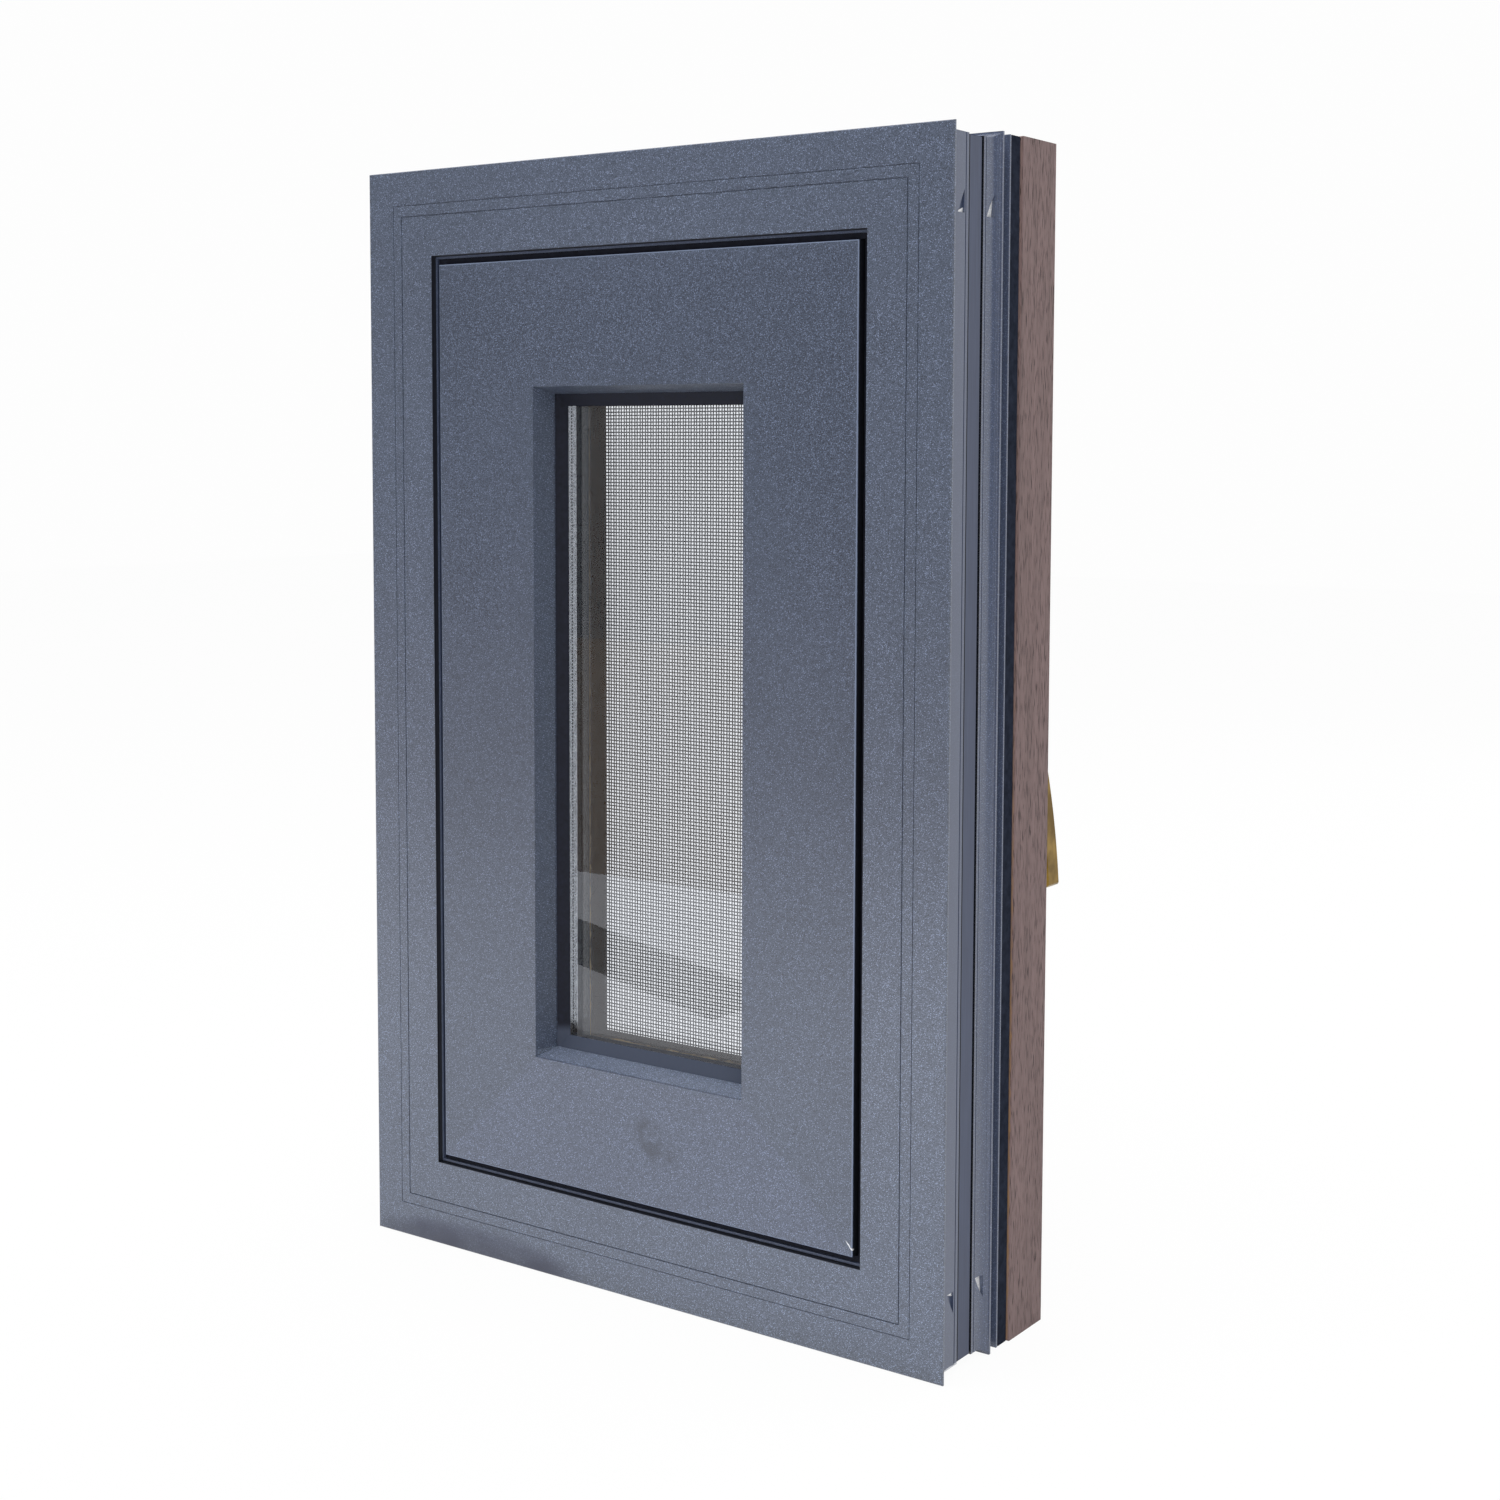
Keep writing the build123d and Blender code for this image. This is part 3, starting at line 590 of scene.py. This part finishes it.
# The lower glazing gasket is painted paler: painted light on its up-facing part
glazing_rubber = soft_black("glazing_rubber", **rubber_look, lit_top=LIT_GASKET_TOP)
paint(soft_black("spacer_plastic", SPACER_BLACK, scale=260.0, sheen=0.0), "frame_spacers")
paint(gasket_rubber, "frame_weather_seal", "sash_stop_gaskets", "screen_seals")
paint(glazing_rubber, "glazing_gasket_outer", "glazing_gasket_inner")

for wood, stain, sheen, arris_y, wear_and_highlight, raw_and_lit_colour in (
    ("frame_wood", FRAME_STAIN, 0.25, wood_front_y, FRAME_WEAR, FRAME_RAW_OAK),
    # The sash's oak: a darker stain as painted shade, and its arris line a painted highlight
    ("sash_wood", SASH_SHADED_STAIN, 0.0, sash_wood_front_y, SASH_HIGHLIGHT_WIDTH, SASH_ARRIS_HIGHLIGHT),
):
    upright = stained_oak(
        f"upright_{wood}", stain, sheen, "Z", arris_y, wear_and_highlight, raw_and_lit_colour, UPRIGHT_UNBROKEN
    )
    level = stained_oak(
        f"level_{wood}", stain, sheen, "X", arris_y, LEVEL_WEAR_AND_HIGHLIGHT * wear_and_highlight, raw_and_lit_colour, LEVEL_UNBROKEN
    )
    paint(upright, f"{wood}_left", f"{wood}_right")
    paint(level, f"{wood}_bottom", f"{wood}_top")

brass_finish = lever_brass()
wire_finish = coated_wire()
sheared_finish = bare_aluminium()
paint(clear_glass(), "glass_outer", "glass_inner")
paint(spacer_bar_metal(), "glass_spacer_bar")
paint(brass_finish, "lock_base", "lock_lever")
paint(wire_finish, "screen_mesh")


# Pieces

def whole(shape):
    """Everything in a bmesh, for the operators that ask for it."""
    return shape.verts[:] + shape.edges[:] + shape.faces[:]


def verts_of(geometry):
    return [part for part in geometry if isinstance(part, bmesh.types.BMVert)]


def object_from(shape, name, material):
    """Turns a finished bmesh into a named object in the scene."""
    mesh = bpy.data.meshes.new(name)
    shape.to_mesh(mesh)
    shape.free()
    mesh.materials.append(material)
    made = bpy.data.objects.new(name, mesh)
    bpy.context.scene.collection.objects.link(made)
    return made


def piece_from(shape, name, material):
    """A piece of the window, which rides on the frame's body."""
    piece = object_from(shape, name, material)
    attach(piece, "window")
    return piece


def woven_wires(name, wires, crossings, phase, turn):
    """Parallel wires that pass over and under at each crossing, made upright and then turned into place."""
    shape = bmesh.new()
    length = (crossings - 1) * WIRE_PITCH
    bmesh.ops.create_cone(
        shape, cap_ends=True, segments=WIRE_SIDES, radius1=WIRE_RADIUS, radius2=WIRE_RADIUS, depth=length
    )
    runs = [edge for edge in shape.edges if edge.calc_length() > length / 2]
    bmesh.ops.subdivide_edges(shape, edges=runs, cuts=crossings - 2, use_grid_fill=True)
    for vert in shape.verts:
        crossing = round((vert.co.z + length / 2) / WIRE_PITCH)
        vert.co.y += WIRE_WAVE if (crossing + phase) % 2 else -WIRE_WAVE
    bmesh.ops.translate(shape, verts=shape.verts, vec=((1 - wires) * WIRE_PITCH / 2, 0, 0))
    bmesh.ops.spin(
        shape, geom=whole(shape), dvec=(2 * WIRE_PITCH, 0, 0),
        angle=0.0, steps=wires // 2 - 1, use_duplicate=True, axis=(0, 0, 1),
    )
    others = verts_of(bmesh.ops.duplicate(shape, geom=whole(shape))["geom"])
    bmesh.ops.scale(shape, verts=others, vec=(1, -1, 1))
    bmesh.ops.translate(shape, verts=others, vec=(WIRE_PITCH, 0, 0))
    bmesh.ops.recalc_face_normals(shape, faces=shape.faces)
    middle = (mesh_low + mesh_high) / 2
    bmesh.ops.transform(shape, verts=shape.verts, matrix=Matrix.Translation(middle) @ turn)
    return piece_from(shape, name, wire_finish)


upright_wires = woven_wires("screen_wires_upright", UPRIGHT_WIRES, LEVEL_WIRES, 0, Matrix.Identity(4))
level_turn = Matrix.Rotation(math.radians(90), 4, "Y")
woven_wires("screen_wires_level", LEVEL_WIRES, UPRIGHT_WIRES, 1, level_turn)
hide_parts("screen_mesh")


def corner_frames():
    """For each end of each side: the ways to the corner, into the room and outward, from its crimp."""
    centre = Vector((0, front_y, middle_z))
    upright = Vector((0, 0, 1))
    level = Vector((1, 0, 0))
    for outward, reach, along, length in (
        (level, half_width, upright, middle_z), (upright, middle_z, level, half_width)
    ):
        for out in (outward, -outward):
            for corner in (along, -along):
                place = centre + out * (reach - FLANGE_REACH) + corner * (length - CRIMP_FROM_CORNER)
                turn = Matrix((corner, (0, 1, 0), out)).transposed().to_4x4()
                yield Matrix.Translation(place) @ turn


def sheared_tongue(shape, depth, length, into):
    """A wedge of sheared metal in a crimp: wide and sunk at its base, rising to a point by the corner."""
    base = CRIMP_CLEARANCE - CRIMP_LENGTH / 2
    near = depth - CRIMP_WIDTH / 2 + 1.5 * CRIMP_CLEARANCE
    far = depth + CRIMP_WIDTH / 2 - CRIMP_CLEARANCE
    corners = ((base, far), (base, near), (base + length, far))
    verts = [shape.verts.new((x, y, -CRIMP_SINK)) for x, y in corners]
    sunk_face = bmesh.ops.contextual_create(shape, geom=verts)["faces"][0]
    tops = verts_of(bmesh.ops.extrude_face_region(shape, geom=[sunk_face])["geom"])
    for vert in tops:
        climb = (vert.co.x - base) / CRIMP_LENGTH
        vert.co.z += CRIMP_SINK * (0.2 + 0.6 * climb)
    bmesh.ops.transform(shape, verts=verts + tops, matrix=into)


def crimp_metal(name, depth, length):
    """The bare metal that shows in one row of crimps, at both ends of the four sides."""
    shape = bmesh.new()
    for into in corner_frames():
        sheared_tongue(shape, depth, length, into)
    bmesh.ops.recalc_face_normals(shape, faces=shape.faces)
    piece_from(shape, name, sheared_finish)


crimp_metal("inner_crimp_tongues", INNER_CRIMP_DEPTH, CRIMP_LENGTH - 5 * CRIMP_CLEARANCE)
crimp_metal("cladding_crimp_nicks", CLADDING_CRIMP_DEPTH, NICK_LENGTH)


def plate_screws():
    """Two slotted screws with sloped rims, one near each end of the lock plate."""
    shape = bmesh.new()
    bmesh.ops.create_cone(
        shape, cap_ends=True, segments=SCREW_SIDES,
        radius1=SCREW_RADIUS, radius2=SCREW_TAPER * SCREW_RADIUS, depth=SCREW_HEIGHT,
    )
    for edge in (-SLOT_WIDTH / 2, SLOT_WIDTH / 2):
        bmesh.ops.bisect_plane(shape, geom=whole(shape), plane_co=(edge, 0, 0), plane_no=(1, 0, 0))
    slot_faces = [
        face for face in shape.faces
        if face.normal.z > 0.9 and abs(face.calc_center_median().x) < SLOT_WIDTH / 4
    ]
    sunk = bmesh.ops.extrude_discrete_faces(shape, faces=slot_faces)["faces"]
    floor_verts = list({vert for face in sunk for vert in face.verts})
    bmesh.ops.translate(shape, verts=floor_verts, vec=(0, 0, -SLOT_DEPTH))
    upper = shape.verts[:]
    lower = verts_of(bmesh.ops.duplicate(shape, geom=whole(shape))["geom"])
    plate_face = plate_low.y + PLATE_THICKNESS + SCREW_HEIGHT / 2
    middle_x = (plate_low.x + plate_high.x) / 2
    for verts, z, slot_turn in (
        (upper, plate_high.z - SCREW_FROM_END, UPPER_SLOT_TURN),
        (lower, plate_low.z + SCREW_FROM_END, LOWER_SLOT_TURN),
    ):
        facing = Matrix.Rotation(math.radians(-90), 4, "X") @ Matrix.Rotation(slot_turn, 4, "Z")
        into = Matrix.Translation((middle_x, plate_face, z)) @ facing
        bmesh.ops.transform(shape, verts=verts, matrix=into)
    bmesh.ops.recalc_face_normals(shape, faces=shape.faces)
    piece_from(shape, "plate_screws", brass_finish)


plate_screws()


def mesh_bead():
    """The rubber bead that presses the edge of the mesh into its slot, mitred at the corners."""
    shape = bmesh.new()
    reach_x = -screen_high.x - BEAD_RADIUS
    reach_z = reach_x + middle_z - half_width
    reaches = (reach_x, reach_z)
    for quarter in range(4):
        reach = reaches[quarter % 2]
        half_length = reaches[(quarter + 1) % 2]
        placed = set(shape.verts)
        bmesh.ops.create_cone(
            shape, cap_ends=False, segments=BEAD_SIDES, radius1=BEAD_RADIUS, radius2=BEAD_RADIUS,
            depth=2 * half_length + 4 * BEAD_RADIUS, matrix=Matrix.Translation((reach, 0, 0)),
        )
        for end in (1, -1):
            bar = [vert for vert in shape.verts if vert not in placed]
            faces = list({face for vert in bar for face in vert.link_faces})
            edges = list({edge for vert in bar for edge in vert.link_edges})
            bmesh.ops.bisect_plane(
                shape, geom=bar + edges + faces, plane_co=(reach, 0, end * half_length),
                plane_no=(-1, 0, end), clear_outer=True,
            )
        bar = [vert for vert in shape.verts if vert not in placed]
        bmesh.ops.rotate(shape, verts=bar, matrix=Matrix.Rotation(math.radians(90 * quarter), 3, "Y"))
    bmesh.ops.remove_doubles(shape, verts=shape.verts, dist=0.01 * MM)
    bmesh.ops.recalc_face_normals(shape, faces=shape.faces)
    for face in shape.faces:
        face.smooth = True
    bmesh.ops.translate(shape, verts=shape.verts, vec=(0, mesh_high.y + BEAD_RADIUS, middle_z))
    piece_from(shape, "screen_mesh_bead", gasket_rubber)


mesh_bead()


# Stage: a pale floor, and cards for glass and coat to mirror: a dark room above a tan board,
# a lit floor with a sunlit far part and a dark strip across it, and a dark side
FLOOR_GLOW = 0.95
FLOOR_GREY = (0.8, 0.8, 0.8, 1.0)
FLOOR_HALF = 6.0
FLOOR_DROP = 0.2 * MM
CARD_Y = -0.932
CARD_LEFT = -4.0
CARD_RIGHT = 0.6
BOARD_TOP = 0.249
ROOM_TOP = 3.0
LIT_FLOOR_NEAR = -0.09
SUNLIT_NEAR = -0.44
LIT_FLOOR_Z = 0.5 * MM
STRIP_LEFT = -1.3
STRIP_RIGHT = -0.3
STRIP_NEAR = -0.93
STRIP_FAR = -1.025
STRIP_SKEW = 0.41
STRIP_Z = 1.0 * MM
SIDE_CARD_X = 2.2
SIDE_CARD_FRONT = -2.2
SIDE_CARD_BACK = 0.7
ROOM_DARK = tone(34, 34, 38)
BOARD_TAN = tone(140, 110, 68)
LIT_FLOOR = (1.12, 1.15, 1.24, 1.0)
SUNLIT_FLOOR = (1.8, 1.85, 2.0, 1.0)
STRIP_DARK = tone(40, 38, 38)


def stage_sheet(name, corners, material):
    """A flat studio sheet between four corners."""
    shape = bmesh.new()
    shape.faces.new([shape.verts.new(corner) for corner in corners])
    sheet = object_from(shape, name, material)
    return sheet


def seen_directly(tree):
    """A value of 1 where the camera, a reflection or the glass looks at the backdrop."""
    path = add_node(tree, "LightPath").outputs
    seen = path["Is Camera Ray"]
    for ray in ("Is Glossy Ray", "Is Transmission Ray"):
        seen = add_node(tree, "Math", {0: seen, 1: path[ray]}, operation="MAXIMUM").outputs["Value"]
    unscattered = add_node(tree, "Math", {0: path["Diffuse Depth"], 1: 0.5}, operation="LESS_THAN")
    direct = add_node(tree, "Math", {0: seen, 1: unscattered.outputs["Value"]}, operation="MULTIPLY")
    return direct.outputs["Value"]


def stage_tree(name):
    """An empty material for the stage, and its tree of nodes."""
    material = bpy.data.materials.new(name)
    material.use_nodes = True
    material.node_tree.nodes.clear()
    return material, material.node_tree


def pale_floor_paint():
    """White studio floor that stays white to the eye and still takes the window's shadow."""
    material, tree = stage_tree("pale_floor_paint")
    matt = add_node(tree, "BsdfDiffuse", {"Color": FLOOR_GREY})
    glow = add_node(tree, "Emission")
    share = add_node(tree, "Math", {0: seen_directly(tree), 1: FLOOR_GLOW}, operation="MULTIPLY")
    layers = {"Fac": share.outputs["Value"], 1: matt.outputs["BSDF"], 2: glow.outputs["Emission"]}
    blend = add_node(tree, "MixShader", layers)
    add_node(tree, "OutputMaterial", {"Surface": blend.outputs["Shader"]})
    return material


def card_paint(name, colour):
    """A plain card for the glass to mirror."""
    material, tree = stage_tree(name)
    glow = add_node(tree, "Emission", {"Color": colour})
    add_node(tree, "OutputMaterial", {"Surface": glow.outputs["Emission"]})
    return material


def mirrored_card(name, low, high, colour, skew=0.0):
    """A card that only reflections see: upright where low and high share an X or a Y, else on the floor.

    The right end of a card on the floor lies nearer to the window by its skew.
    """
    if low[0] == high[0]:
        corners = [low, (low[0], high[1], low[2]), high, (low[0], low[1], high[2])]
    elif low[1] == high[1]:
        corners = [low, (high[0], low[1], low[2]), high, (low[0], low[1], high[2])]
    else:
        far_right = (high[0], low[1] + skew, low[2])
        near_right = (high[0], high[1] + skew, high[2])
        corners = [low, far_right, near_right, (low[0], high[1], low[2])]
    card = stage_sheet(name, corners, card_paint(f"{name}_paint", colour))
    card.visible_camera = False
    card.visible_diffuse = False
    card.visible_transmission = False
    card.visible_shadow = False


floor_corners = [
    (x * FLOOR_HALF, y * FLOOR_HALF, -FLOOR_DROP) for x, y in ((-1, -1), (1, -1), (1, 1), (-1, 1))
]
stage_sheet("floor", floor_corners, pale_floor_paint())
mirrored_card("mirrored_room", (CARD_LEFT, CARD_Y, BOARD_TOP), (CARD_RIGHT, CARD_Y, ROOM_TOP), ROOM_DARK)
mirrored_card("mirrored_board", (CARD_LEFT, CARD_Y, 0.0), (CARD_RIGHT, CARD_Y, BOARD_TOP), BOARD_TAN)
mirrored_card(
    "mirrored_floor",
    (CARD_LEFT, SUNLIT_NEAR, LIT_FLOOR_Z), (CARD_RIGHT, LIT_FLOOR_NEAR, LIT_FLOOR_Z), LIT_FLOOR,
)
mirrored_card(
    "mirrored_sunlit_floor",
    (CARD_LEFT, CARD_Y, LIT_FLOOR_Z), (CARD_RIGHT, SUNLIT_NEAR, LIT_FLOOR_Z), SUNLIT_FLOOR,
)
mirrored_card(
    "mirrored_strip",
    (STRIP_LEFT, STRIP_FAR, STRIP_Z), (STRIP_RIGHT, STRIP_NEAR, STRIP_Z), STRIP_DARK, STRIP_SKEW,
)
mirrored_card(
    "mirrored_side",
    (SIDE_CARD_X, SIDE_CARD_FRONT, 0.0), (SIDE_CARD_X, SIDE_CARD_BACK, ROOM_TOP), ROOM_DARK,
)


# Light and camera
LIT_MIDDLE = Vector((0.0, 0.0, 0.3))
AMBIENT_WHITE = (1.0, 1.0, 1.0, 1.0)
AMBIENT_STRENGTH = 0.72
BACKDROP_WHITE = (0.985, 0.985, 0.985, 1.0)


def soft_light(name, place, size, power):
    """A square soft box aimed at the window."""
    lamp = bpy.data.lights.new(name, "AREA")
    lamp.shape = "SQUARE"
    lamp.size = size
    lamp.energy = power
    light = bpy.data.objects.new(name, lamp)
    light.location = place
    light.rotation_euler = (LIT_MIDDLE - Vector(place)).to_track_quat("-Z", "Y").to_euler()
    light.visible_glossy = False
    light.visible_transmission = False
    bpy.context.scene.collection.objects.link(light)


soft_light("key_light", place=(1.6, -2.0, 0.8), size=1.5, power=16.0)
soft_light("fill_light", place=(-2.3, -2.2, 0.9), size=1.6, power=14.0)
soft_light("top_light", place=(0.0, -0.5, 2.1), size=1.5, power=26.0)
soft_light("room_light", place=(0.9, 2.0, 1.0), size=1.6, power=16.0)

world = bpy.data.worlds.new("studio")
bpy.context.scene.world = world
world.use_nodes = True
sky = world.node_tree
ambient = sky.nodes["Background"]
ambient.inputs["Color"].default_value = AMBIENT_WHITE
ambient.inputs["Strength"].default_value = AMBIENT_STRENGTH
backdrop = add_node(sky, "Background", {"Color": BACKDROP_WHITE})
sky_layers = {
    "Fac": seen_directly(sky), 1: ambient.outputs["Background"], 2: backdrop.outputs["Background"]
}
either_sky = add_node(sky, "MixShader", sky_layers)
sky.links.new(either_sky.outputs["Shader"], sky.nodes["World Output"].inputs["Surface"])

lens = bpy.data.cameras.new("camera")
lens.sensor_width = SENSOR_WIDTH
lens.lens = FOCAL_PIXELS / PHOTO_PIXELS * SENSOR_WIDTH
lens.shift_y = CAMERA_SHIFT_Y
camera = bpy.data.objects.new("camera", lens)
camera_turn = (
    Matrix.Rotation(math.radians(CAMERA_YAW), 4, "Z")
    @ Matrix.Rotation(math.radians(90 + CAMERA_PITCH), 4, "X")
    @ Matrix.Rotation(math.radians(CAMERA_ROLL), 4, "Z")
)
camera.matrix_world = Matrix.Translation(CAMERA_PLACE) @ camera_turn
bpy.context.scene.collection.objects.link(camera)
bpy.context.scene.camera = camera
bpy.context.scene.view_settings.view_transform = "Standard"
